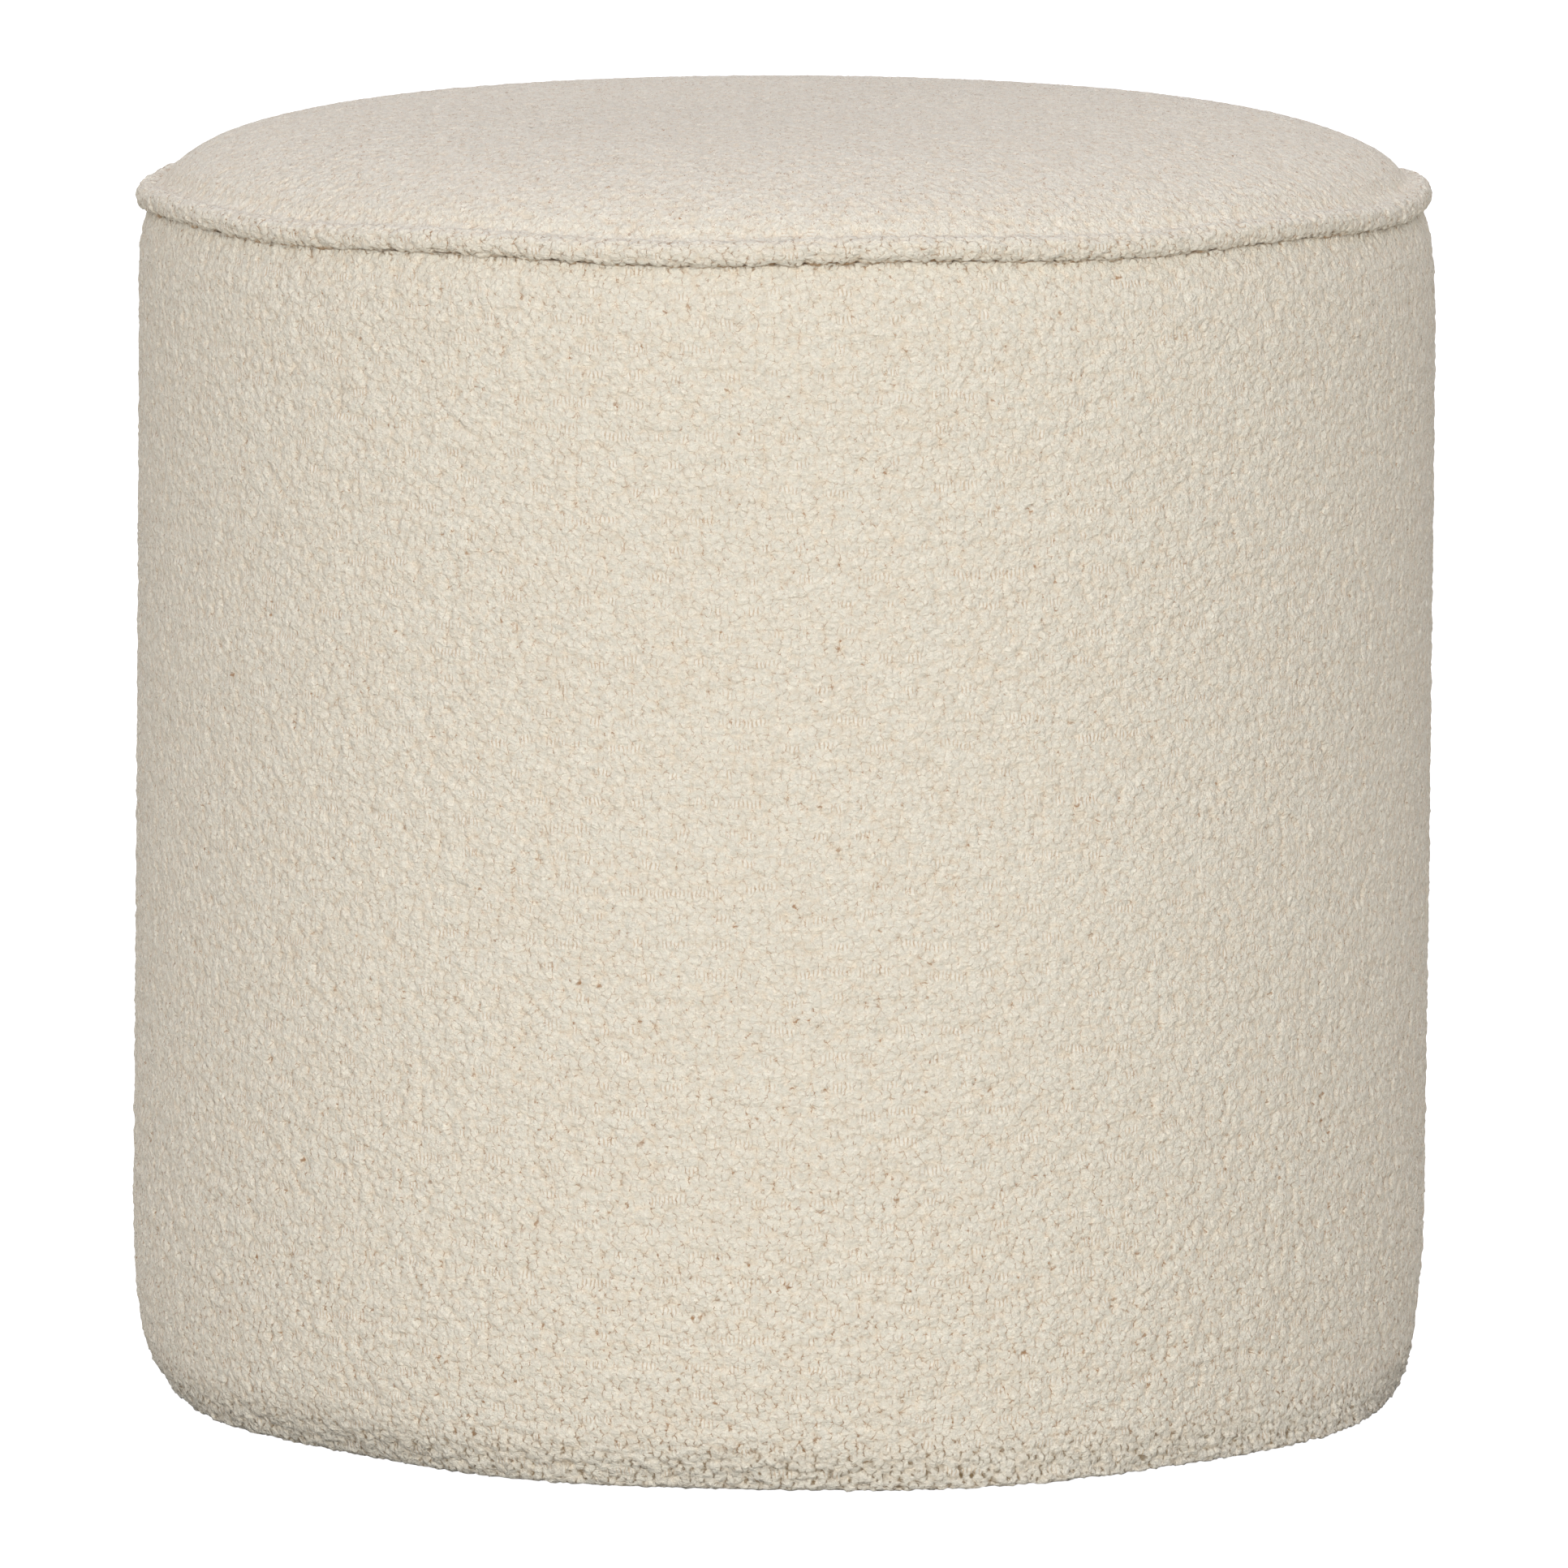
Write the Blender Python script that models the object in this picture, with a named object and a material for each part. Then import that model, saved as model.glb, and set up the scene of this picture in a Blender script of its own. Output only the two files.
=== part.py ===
# Round filled pouf in boucle: a crowned top panel, a filled side panel that draws in at its
# foot, a self-fabric welt in the seam between them, and a plain base panel underneath.
# Metres, +Z up. The origin is on the floor under the middle, and the front faces -Y.

import math

import bmesh
import bpy

# Welt: a cord of the cover cloth, sewn into the seam all the way round
WELT_HEIGHT = 0.4171  # middle of the welt above the floor
WELT_OUTER_RADIUS = 0.2255
WELT_TUBE_RADIUS = 0.0048
WELT_SIDES = 12

# Top panel: a flat crown that falls steeply to the welt
CROWN_HEIGHT = 0.0315  # above the middle of the welt
CROWN_RADIUS = 0.2175
CROWN_POWER = 4.2  # a higher power is a flatter middle and a rounder shoulder
CROWN_ROWS = 14

# Side panel: tucked in under the welt, widest low down, drawn in at the foot
SIDE_RADIUS = 0.2261  # just below the tuck
SIDE_GROWTH = 0.0049  # how much wider the side is per metre of its depth
TUCK = 0.0045
TUCK_DEPTH = 0.0081  # the tuck fades to a third over this depth
DRAW_IN = 0.010  # at the floor
DRAW_IN_HEIGHT = 0.067
SHOULDER_DEPTHS = (0.002, 0.005, 0.009, 0.014, 0.021, 0.032, 0.050, 0.080, 0.120)
SIDE_ROWS = 5  # even rows between the shoulder and the foot
FOOT_ROWS = 9

# Base panel: a disc of base cloth, set in the ring on which the pouf stands
BASE_RADIUS = 0.1997
BASE_THICKNESS = 0.0018
BASE_LIFT = 0.0015  # above the floor

# How the filled pouf has settled
GAP = 0.0003  # between neighbouring pieces
LEAN_TOP = 0.0014  # sideways shift of the side's shoulder, towards +X
LEAN_FOOT = -0.0026  # and at its foot
SEAM_TILT = 0.0011  # the seam is lowest a little to the right of the front
SEAM_TILT_ANGLE = math.radians(15)
SEAM_WAVE = 0.0008
SEAM_WAVES = 9
SIDE_WAVE = 0.0006  # soft hollows round the side, deepest at mid height
SIDE_WAVES = 5
SIDE_WAVE_START = 0.7
SHOULDER_SHARE = 0.9  # of the height, above which the lean fades out towards the seam
FOOT_FADE = 6  # a higher power keeps the foot's unevenness closer to the floor
# The foot's outline: how many times round, how far in and out, and the angle of a bulge,
# measured from +X towards the front
FOOT_BULGES = (
    {"times": 1, "reach": 0.0029, "angle": 50},
    {"times": 2, "reach": 0.0042, "angle": 45},
    {"times": 9, "reach": 0.0020, "angle": 72},
)

SEGMENTS = 64  # round the pouf
TOP_HOLLOW_STEPS = 4  # across the part of the welt's hollow that each panel takes
SIDE_HOLLOW_STEPS = 7
HOLLOW_END = 2.0  # degrees above or below level where the hollow stops inside the seam
MERGE_DISTANCE = 0.00001
SHARP_ANGLE = math.radians(50)

WELT_RADIUS = WELT_OUTER_RADIUS - WELT_TUBE_RADIUS  # middle of the welt from the axis
CRADLE_RADIUS = WELT_TUBE_RADIUS + GAP  # the panels' seam edges hug the welt


def round_welt(distance, degrees):
    """The (radius, height) at a distance and angle round the middle of the welt's section."""
    angle = math.radians(degrees)
    return WELT_RADIUS + distance * math.cos(angle), WELT_HEIGHT + distance * math.sin(angle)


def hollow(from_degrees, to_degrees, steps):
    """Points of the hollow that holds the welt."""
    turn = (to_degrees - from_degrees) / steps
    return [round_welt(CRADLE_RADIUS, from_degrees + turn * step) for step in range(steps + 1)]


def crown_height(radius):
    """Height of the crown above the middle of the welt."""
    share = min(radius / CROWN_RADIUS, 1.0)
    return CROWN_HEIGHT * math.sqrt(1.0 - share**CROWN_POWER)


def side_radius(height):
    """Radius of the side panel at a height above the floor."""
    depth = WELT_HEIGHT - CRADLE_RADIUS - height
    radius = SIDE_RADIUS + SIDE_GROWTH * depth - TUCK * math.exp(-depth / TUCK_DEPTH)
    low = max(0.0, 1.0 - height / DRAW_IN_HEIGHT)
    return radius - DRAW_IN * (1.0 - math.sqrt(1.0 - low * low))


def meeting_degrees(is_inside, step):
    """The angle round the welt, from its inner side, at which a panel's face is reached."""
    degrees = 180.0
    while is_inside(*round_welt(CRADLE_RADIUS, degrees)):
        degrees += step
    return degrees


def top_outline():
    """Crown from the axis to the seam, the hollow round the welt, and the flat underneath."""
    meet = meeting_degrees(
        lambda radius, height: height - WELT_HEIGHT < crown_height(radius), -1.0
    )
    seat = hollow(meet, 180.0 - HOLLOW_END, TOP_HOLLOW_STEPS)
    points = []
    for row in range(CROWN_ROWS):
        radius = seat[0][0] * math.sin(row / CROWN_ROWS * math.pi / 2)
        points.append((radius, WELT_HEIGHT + crown_height(radius)))
    under = WELT_HEIGHT + GAP / 2
    return points + seat + [(seat[-1][0], under), (0.0, under)]


def side_outline():
    """Flat top, the hollow round the welt, the side down to the foot, and the recessed base."""
    meet = meeting_degrees(lambda radius, height: radius < side_radius(height), 1.0)
    seat = hollow(180.0 + HOLLOW_END, meet, SIDE_HOLLOW_STEPS)
    over = WELT_HEIGHT - GAP / 2
    points = [(0.0, over), (seat[0][0], over)] + seat
    heights = [seat[-1][1] - depth for depth in SHOULDER_DEPTHS]
    row_height = (heights[-1] - DRAW_IN_HEIGHT) / SIDE_ROWS
    heights += [DRAW_IN_HEIGHT + row_height * row for row in reversed(range(SIDE_ROWS))]
    heights += [
        DRAW_IN_HEIGHT * (1.0 - math.sin(row / FOOT_ROWS * math.pi / 2))
        for row in range(1, FOOT_ROWS + 1)
    ]
    points += [(side_radius(height), height) for height in heights]
    recess = BASE_LIFT + BASE_THICKNESS + GAP
    return points + [(BASE_RADIUS + GAP, 0.0), (BASE_RADIUS + GAP, recess), (0.0, recess)]


def welt_outline():
    """The welt's round section."""
    return [round_welt(WELT_TUBE_RADIUS, 360.0 * side / WELT_SIDES) for side in range(WELT_SIDES)]


def base_outline():
    """The base panel's flat disc."""
    top = BASE_LIFT + BASE_THICKNESS
    return [(0.0, top), (BASE_RADIUS, top), (BASE_RADIUS, BASE_LIFT), (0.0, BASE_LIFT)]


def settled(point):
    """Where a point of the evenly sewn shape lies once the pouf has settled."""
    x, y, z = point
    share = z / WELT_HEIGHT
    angle = math.atan2(y, x)
    outward = math.hypot(x, y) / WELT_OUTER_RADIUS
    middle = math.sin(math.pi * min(share, 1.0))
    out = outward * middle * SIDE_WAVE * math.sin(SIDE_WAVES * angle + SIDE_WAVE_START)
    foot = max(0.0, 1.0 - z / DRAW_IN_HEIGHT) ** FOOT_FADE
    for bulge in FOOT_BULGES:
        turn = bulge["times"] * (-angle - math.radians(bulge["angle"]))
        out += foot * bulge["reach"] * math.cos(turn)
    widened = 1.0 + out / SIDE_RADIUS
    lean = LEAN_FOOT + (LEAN_TOP - LEAN_FOOT) * share
    lean *= min(1.0, max(0.0, 1.0 - share) / (1.0 - SHOULDER_SHARE))
    from_front = angle + math.pi / 2
    rise = SEAM_WAVE * math.sin(SEAM_WAVES * from_front)
    rise -= SEAM_TILT * math.cos(from_front - SEAM_TILT_ANGLE)
    return (x * widened + lean, y * widened, z + share * outward * rise)


def cloth(name, colour, roughness):
    """A plain cloth material."""
    material = bpy.data.materials.new(name)
    material.use_nodes = True
    shader = material.node_tree.nodes["Principled BSDF"]
    shader.inputs["Base Color"].default_value = (*colour, 1.0)
    shader.inputs["Roughness"].default_value = roughness
    shader.inputs["Metallic"].default_value = 0.0
    return material


def turned(name, outline, is_ring, material):
    """One closed solid turned from an outline of (radius, height) points, then settled."""
    mesh = bpy.data.meshes.new(name)
    shape = bmesh.new()
    corners = [shape.verts.new((radius, 0.0, height)) for radius, height in outline]
    lines = [shape.edges.new(pair) for pair in zip(corners, corners[1:])]
    if is_ring:
        lines.append(shape.edges.new((corners[-1], corners[0])))
    bmesh.ops.spin(
        shape, geom=corners + lines, axis=(0, 0, 1), cent=(0, 0, 0), angle=math.tau, steps=SEGMENTS
    )
    bmesh.ops.remove_doubles(shape, verts=shape.verts, dist=MERGE_DISTANCE)
    bmesh.ops.recalc_face_normals(shape, faces=shape.faces)
    for corner in shape.verts:
        corner.co = settled(corner.co)
    shape.to_mesh(mesh)
    shape.free()
    mesh.materials.append(material)
    mesh.shade_smooth()
    mesh.set_sharp_from_angle(angle=SHARP_ANGLE)
    piece = bpy.data.objects.new(name, mesh)
    bpy.context.scene.collection.objects.link(piece)
    return piece


def main():
    for old in list(bpy.data.objects):
        bpy.data.objects.remove(old, do_unlink=True)
    boucle = cloth("cream_boucle", (0.74, 0.68, 0.57), 0.95)
    base_cloth = cloth("base_cloth", (0.55, 0.50, 0.42), 0.9)
    turned("side_panel", side_outline(), False, boucle)
    turned("top_panel", top_outline(), False, boucle)
    turned("welt", welt_outline(), True, boucle)
    turned("base_panel", base_outline(), False, base_cloth)


main()
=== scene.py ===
# Round boucle pouf: the looks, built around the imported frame.
# Metres, +Z up, the front faces -Y. Cloth patterns are in millimetres of cloth.

import math

import bpy
import numpy as np
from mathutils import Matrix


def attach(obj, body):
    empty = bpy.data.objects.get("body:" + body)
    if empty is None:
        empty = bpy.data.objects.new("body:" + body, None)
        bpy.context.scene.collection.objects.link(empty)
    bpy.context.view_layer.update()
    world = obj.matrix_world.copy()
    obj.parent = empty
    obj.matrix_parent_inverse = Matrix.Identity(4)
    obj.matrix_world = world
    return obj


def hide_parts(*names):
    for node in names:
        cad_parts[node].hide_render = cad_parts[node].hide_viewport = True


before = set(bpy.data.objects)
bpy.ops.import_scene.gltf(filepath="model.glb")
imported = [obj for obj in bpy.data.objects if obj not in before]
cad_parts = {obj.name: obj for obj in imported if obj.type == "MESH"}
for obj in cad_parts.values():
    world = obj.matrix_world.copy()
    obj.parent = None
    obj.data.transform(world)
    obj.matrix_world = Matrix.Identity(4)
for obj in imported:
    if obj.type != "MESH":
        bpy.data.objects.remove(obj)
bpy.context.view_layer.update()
print("frame loaded:", sorted(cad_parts))


# Camera, first, because everything is judged through it
camera = {
    "place": (0.0, -4.0, 0.7696),
    "aim": (0.0, 0.0, 0.2085),  # on the pouf's axis
    "focalLength": 264.3,  # mm, a long lens: the sides hardly converge
    "sensor": 36.0,
}


def makeCamera():
    lens = bpy.data.cameras.new("photoLens")
    lens.lens = camera["focalLength"]
    lens.sensor_width = camera["sensor"]
    lens.sensor_fit = "HORIZONTAL"
    eye = bpy.data.objects.new("photoCamera", lens)
    bpy.context.scene.collection.objects.link(eye)
    eye.location = camera["place"]
    across = camera["aim"][1] - camera["place"][1]
    drop = camera["place"][2] - camera["aim"][2]
    eye.rotation_euler = (math.pi / 2 - math.atan2(drop, across), 0.0, 0.0)
    bpy.context.scene.camera = eye


# The pouf's shape, in the same sizes as the frame's solids
weltShape = {
    "height": 0.4171,  # middle of the cord above the floor
    "radius": 0.2207,  # middle of the cord from the axis
    "thick": 0.0048,  # half the cord's thickness
    "cradle": 0.0051,  # the panels hug the cord at this distance
    "lip": 0.0040,  # the panels' pile touches the welt where they meet
    "hugTop": 50.0,  # degrees that the top panel's pile laps over the welt
    "hugSide": 20.0,  # and the side panel's
    "hollowEnd": 2.0,  # degrees from level where the panels stop inside the seam
    "pileFill": 0.0030,  # the pile rounds off the valley along the seam
    "pileFillTop": 0.0050,
    "swell": 0.0002,  # its cloth wraps the cord loosely
    "lumps": 0.00025,  # the cord and its cloth are a little uneven
    # times round the pouf, how far that drifts, and how often
    "lumpWaves": ((83, 3, 5), (131, 2, 11)),
    "around": 1290,  # quads
    "sides": 32,
    "clothStart": 5000.0,  # mm, so that its tufts aren't the side's
}
topShape = {
    "crown": 0.0315,  # above the middle of the welt
    "crownRadius": 0.2175,
    "crownPower": 4.2,  # a higher power is a flatter middle and a rounder shoulder
    "across": 300,  # quads from edge to edge
}
sideShape = {
    "radius": 0.2261,  # just below the tuck
    "growth": 0.0049,  # wider by this for each metre down
    "tuck": 0.0045,  # under the welt
    "tuckDepth": 0.0081,
    "drawIn": 0.010,  # at the foot
    "drawInHeight": 0.067,
    "around": 944,  # quads
    "rowSize": 0.0015,
    "footRowSize": 0.0010,  # smaller rows, because the tufts splay at the foot
    "footHeight": 0.024,
    "pieces": 4,
}
baseShape = {
    "radius": 0.1997,
    "lift": 0.0015,  # above the floor
    "thick": 0.0018,
    "gap": 0.0003,  # between its edge and the foot
    "rise": 0.0006,  # its middle is drawn up a little
    "across": 96,  # quads from edge to edge
}
settling = {
    "leanTop": 0.0014,  # sideways shift of the shoulder, to the right
    "leanFoot": -0.0026,
    "shoulder": 0.9,  # share of the height, above which the lean fades out
    "seamTilt": 0.0011,  # the seam is lowest a little to the right of the front
    "seamTiltAngle": math.radians(15),
    "seamWave": 0.0008,
    "seamWaves": 9,
    "waveReach": (0.85, 0.95),  # shares of the radius from which they grow to full size
    "sideWave": 0.0006,  # soft hollows round the side
    "sideWaves": 5,
    "sideWaveStart": 0.7,
    "footFade": 6,  # a higher power keeps the bulges closer to the floor
    "footBulges": (
        {"times": 1, "reach": 0.0029, "angle": 50},
        {"times": 2, "reach": 0.0042, "angle": 45},
        {"times": 9, "reach": 0.0020, "angle": 72},
    ),
}
outerRadius = weltShape["radius"] + weltShape["thick"]
cradle = weltShape["cradle"]
lineSteps = {  # points on each line, before it is cut into even rows
    "sideSeat": 50,
    "topSeat": 40,
    "bend": 20,
    "side": 1500,
    "crown": 3000,
    "ring": 40,
}


def eased(value, low, high):
    share = np.clip((value - low) / (high - low), 0.0, 1.0)
    return share * share * (3.0 - 2.0 * share)


def settled(x, y, z):
    # where the evenly sewn shape lies once the pouf has settled
    share = z / weltShape["height"]
    angle = np.arctan2(y, x)
    outward = np.hypot(x, y) / outerRadius
    middle = np.sin(math.pi * np.minimum(share, 1.0))
    wave = np.sin(settling["sideWaves"] * angle + settling["sideWaveStart"])
    out = outward * middle * settling["sideWave"] * wave
    foot = np.maximum(0.0, 1.0 - z / sideShape["drawInHeight"]) ** settling["footFade"]
    for bulge in settling["footBulges"]:
        turn = bulge["times"] * (-angle - math.radians(bulge["angle"]))
        out = out + foot * bulge["reach"] * np.cos(turn)
    widened = 1.0 + out / sideShape["radius"]
    lean = settling["leanFoot"] + (settling["leanTop"] - settling["leanFoot"]) * share
    lean = lean * np.clip((1.0 - share) / (1.0 - settling["shoulder"]), 0.0, 1.0)
    fromFront = angle + math.pi / 2
    nearSeam = eased(outward, *settling["waveReach"])
    rise = nearSeam * settling["seamWave"] * np.sin(settling["seamWaves"] * fromFront)
    rise = rise - settling["seamTilt"] * np.cos(fromFront - settling["seamTiltAngle"])
    return np.stack([x * widened + lean, y * widened, z + share * outward * rise], -1)


def crownHeight(radius):
    share = np.minimum(radius / topShape["crownRadius"], 1.0)
    return topShape["crown"] * np.sqrt(1.0 - share ** topShape["crownPower"])


def sideRadius(height):
    depth = weltShape["height"] - cradle - height
    radius = sideShape["radius"] + sideShape["growth"] * depth
    radius = radius - sideShape["tuck"] * np.exp(-depth / sideShape["tuckDepth"])
    low = np.maximum(0.0, 1.0 - height / sideShape["drawInHeight"])
    return radius - sideShape["drawIn"] * (1.0 - np.sqrt(1.0 - low * low))


def roundWelt(distance, degrees):
    turn = np.radians(degrees)
    radius = weltShape["radius"] + distance * np.cos(turn)
    return radius, weltShape["height"] + distance * np.sin(turn)


def meetingDegrees(isInside, step):
    # the angle round the welt, from its inner side, at which a panel's face is reached
    degrees = 180.0
    while isInside(*roundWelt(cradle, degrees)):
        degrees += step
    return degrees


def discGrid(across, facesUp):
    # rows of a square, laid on a disc so that its quads keep their size:
    # the angle of each point, and its distance from the middle as a share of the radius
    side = np.linspace(-1.0, 1.0, across + 1)
    up, over = np.meshgrid(side[::-1] if facesUp else side, side, indexing="ij")
    isFlat = np.abs(over) > np.abs(up)
    length = np.where(isFlat, over, up)
    ratio = np.where(isFlat, up, over) / np.where(length == 0.0, 1.0, length)
    quarter = math.pi / 4
    angle = np.where(isFlat, quarter * ratio, math.pi / 2 - quarter * ratio)
    return np.where(length < 0.0, angle + math.pi, angle), np.abs(length)


def lengthAlong(radius, height):
    return np.concatenate([[0.0], np.cumsum(np.hypot(np.diff(radius), np.diff(height)))])


def resampled(radius, height, step):
    # the same line in steps of the given lengths, and the length along it
    along = lengthAlong(radius, height)
    middle = (step[1:] + step[:-1]) / 2
    paces = np.concatenate([[0.0], np.cumsum(np.diff(along) / middle)])
    even = np.interp(np.linspace(0.0, paces[-1], round(paces[-1]) + 1), paces, along)
    return np.interp(even, along, radius), np.interp(even, along, height), even


def bent(start, corner, end):
    # a smooth bend from start to end, as arrays of radii and heights
    share = np.linspace(0.0, 1.0, lineSteps["bend"])
    lines = []
    for a, b, c in zip(start, corner, end):
        lines.append((1 - share) ** 2 * a + 2 * share * (1 - share) * b + share**2 * c)
    return lines


# Node and colour helpers
def linear(hexColour):
    parts = [int(hexColour[i : i + 2], 16) / 255 for i in (1, 3, 5)]
    return (*[p / 12.92 if p <= 0.04045 else ((p + 0.055) / 1.055) ** 2.4 for p in parts], 1.0)


def addNode(tree, kind, sockets=None, output=0, **settings):
    node = tree.nodes.new(kind)
    for name, value in settings.items():
        setattr(node, name, value)
    for name, value in (sockets or {}).items():
        if isinstance(value, bpy.types.NodeSocket):
            tree.links.new(value, node.inputs[name])
        else:
            node.inputs[name].default_value = value
    return node.outputs[output] if len(node.outputs) else node


# Boucle: looped wool and cotton yarn that stands in tight round tufts on a woven ground.
# The eye sees soft pebbles of 3 to 4 mm, thin tan crevices down the sides of the tufts, whose tan
# is painted shade, and here and there a few bare ground threads where a row of tufts thins out.
boucle = {
    "tuft": (2.9, 2.9),  # mm across and along the warp
    "drift": 1.5,  # mm that the tufts are pushed out of line
    "driftEvery": 2.6,
    "pileDepth": 1.6,  # mm from the tops of the tufts to the ground
    "pressed": 0.42,  # share of that depth that shows where the cloth is stretched
    "puff": (7.0, 5.0),  # mm, soft lumps of several tufts
    "puffDepth": 1.0,  # in pile depths
    "puffLevel": 0.7,  # the noise's value that stays at the cloth's own level
    "curl": 0.9,  # mm, single loops on a tuft
    "fibre": 1.3,  # mm, the curl of single fibres
    "cloudEvery": 14.0,  # mm, soft clouds of colour
    "fuzz": 2.2,  # mm, the yarn's soft unevenness
    "combed": 0.78,  # the fibres lie a little more across the cloth than along it
    "crackEvery": 2.4,  # mm between places with deep crevices
    "crackOpens": (0.45, 0.58),  # values of their noise from none to open
    "crackDepth": 0.6,  # in pile depths
    "fleckOpens": (0.55, 0.65),  # likewise, for fine flecks of painted shade between fibres
    "fleckWide": (0.045, 0.01),  # how close to a fibre's line they begin and are full
    "rowEvery": 9.5,  # mm between rows, which the eye sees as faint grooves
    "rowTall": 2.3,  # mm
    "rowDip": 0.5,  # in pile depths
    "rowDrift": 4.0,  # mm that a row wanders up and down
    "rowWander": 38.0,  # mm along the row over which it does so
    "rowStagger": 1.6,  # mm between the ends of neighbouring threads
    "patchEvery": 8.0,  # mm between the bare patches in a row
    "patchOpens": (0.54, 0.62),
    "patchShift": 5.37,  # any number that isn't whole, so that rows differ
    "threadEvery": 1.4,  # mm
    # the tops of the tufts under a painted highlight, and the pile deep between them in painted
    # shade
    "pileLitTop": "#F6F2E5",
    "pileShadedDeep": "#F1E5D1",
    # painted shade: tan in the crevices between tufts
    "crevice": "#AE8258",
    "creviceLooseShade": "#836C4A",  # painted shade, darker, at the foot where it stands on the floor and along the seam
    "threadLight": "#FFFAEF",
    "threadDark": "#D6BC99",
    # painted shade in the welt's creases, and the closing seam's line at the back
    "seam": "#B08A5E",
    "sheen": "#F4EDE2",
}


def tuftField(tree, cloth, lay):
    # The same nodes give the relief of the mesh and the finish of the material. lay holds
    # the share of the pile's depth, how far the tufts stand apart, and the share of the seam's
    # colour, which is painted shade in the creases by the welt and the closing seam's line at the
    # back.
    drift = addNode(
        tree, "ShaderNodeTexNoise",
        {"Vector": cloth, "Scale": 1 / boucle["driftEvery"], "Detail": 2.5},
        output=1, noise_dimensions="2D",
    )
    push = 2 * boucle["drift"]
    moved = addNode(
        tree, "ShaderNodeVectorMath",
        {0: drift, 1: (push, push, 0.0), 2: cloth}, operation="MULTIPLY_ADD",
    )
    tuftWide, tuftTall = boucle["tuft"]
    cells = addNode(
        tree, "ShaderNodeVectorMath",
        {0: moved, 1: (1 / tuftWide, 1 / tuftTall, 0.0)}, operation="MULTIPLY",
    )
    nearest = addNode(
        tree, "ShaderNodeTexVoronoi", {"Vector": cells, "Scale": 1.0, "Randomness": 1.0},
        voronoi_dimensions="2D", feature="F1",
    ).node.outputs
    second = addNode(
        tree, "ShaderNodeTexVoronoi", {"Vector": cells, "Scale": 1.0, "Randomness": 1.0},
        voronoi_dimensions="2D", feature="F2",
    )
    chance = addNode(tree, "ShaderNodeSeparateXYZ", {0: nearest[1]}).node.outputs
    spread = addNode(tree, "ShaderNodeSeparateXYZ", {0: lay}).node.outputs[1]
    across = addNode(tree, "ShaderNodeSeparateXYZ", {0: cloth}).node.outputs

    # a tuft: round on top, deepest where three of them meet, with small curls of yarn on it
    curls = addNode(
        tree, "ShaderNodeTexNoise",
        {"Vector": cloth, "Scale": 1 / boucle["curl"], "Detail": 1.0}, noise_dimensions="2D",
    )
    gap = addNode(tree, "ShaderNodeMath", {0: second, 1: nearest[0]}, operation="SUBTRACT")
    squared = addNode(
        tree, "ShaderNodeMath", {0: nearest[0], 1: nearest[0]}, operation="MULTIPLY"
    )
    dome = addNode(tree, "ShaderNodeMapRange", {0: squared, 1: 0.0, 2: 0.62, 3: 1.0, 4: 0.0})
    shoulder = addNode(tree, "ShaderNodeMapRange", {0: gap, 1: 0.0, 2: 0.2, 3: 0.65, 4: 1.0})
    tall = addNode(tree, "ShaderNodeMapRange", {0: chance[0], 3: 0.8, 4: 1.0})
    domed = addNode(tree, "ShaderNodeMath", {0: dome, 1: shoulder}, operation="MULTIPLY")
    smooth = addNode(tree, "ShaderNodeMath", {0: domed, 1: tall}, operation="MULTIPLY")
    curly = addNode(tree, "ShaderNodeMapRange", {0: curls, 1: 0.3, 2: 0.7, 3: -0.12, 4: 0.12})
    tuft = addNode(tree, "ShaderNodeMath", {0: smooth, 1: curly}, operation="ADD")

    # crevices show down the sides of a tuft, where the loops don't hang over them
    away = addNode(
        tree, "ShaderNodeVectorMath", {0: cells, 1: nearest[2]}, operation="SUBTRACT"
    )
    aside = addNode(tree, "ShaderNodeSeparateXYZ", {0: away}).node.outputs[0]
    asideSize = addNode(tree, "ShaderNodeMath", {0: aside}, operation="ABSOLUTE")
    slant = addNode(
        tree, "ShaderNodeMath", {0: asideSize, 1: nearest[0]}, operation="DIVIDE"
    )
    upright = addNode(tree, "ShaderNodeMapRange", {0: slant, 1: 0.6, 2: 0.97, 3: 0.4, 4: 1.0})
    breaks = addNode(
        tree, "ShaderNodeTexNoise",
        {"Vector": cloth, "Scale": 1 / boucle["crackEvery"], "Detail": 1.5},
        noise_dimensions="2D",
    )
    crackStart, crackFull = boucle["crackOpens"]
    broken = addNode(tree, "ShaderNodeMapRange", {0: breaks, 1: crackStart, 2: crackFull})
    lineWide = addNode(tree, "ShaderNodeMapRange", {0: spread, 2: 1.5, 3: 0.08, 4: 0.7})
    line = addNode(tree, "ShaderNodeMapRange", {0: gap, 1: lineWide, 2: 0.01})
    farOut = addNode(tree, "ShaderNodeMapRange", {0: nearest[0], 1: 0.2, 2: 0.45})
    edge = addNode(tree, "ShaderNodeMath", {0: line, 1: farOut}, operation="MULTIPLY")
    sideEdge = addNode(tree, "ShaderNodeMath", {0: edge, 1: upright}, operation="MULTIPLY")
    crevice = addNode(tree, "ShaderNodeMath", {0: sideEdge, 1: broken}, operation="MULTIPLY")

    # ground threads, each with its own ends
    threads = addNode(
        tree, "ShaderNodeMath", {0: across[0], 1: 1 / boucle["threadEvery"]}, operation="MULTIPLY"
    )
    wavering = addNode(
        tree, "ShaderNodeMath", {0: breaks, 1: 0.8, 2: threads}, operation="MULTIPLY_ADD"
    )
    threadNumber = addNode(tree, "ShaderNodeMath", {0: wavering}, operation="FLOOR")
    threadWave = addNode(tree, "ShaderNodeMath", {0: wavering, 1: 0.5}, operation="PINGPONG")
    thread = addNode(tree, "ShaderNodeMapRange", {0: threadWave, 1: 0.06, 2: 0.26})
    stagger = addNode(
        tree, "ShaderNodeTexWhiteNoise", {"W": threadNumber}, noise_dimensions="1D"
    )

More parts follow.
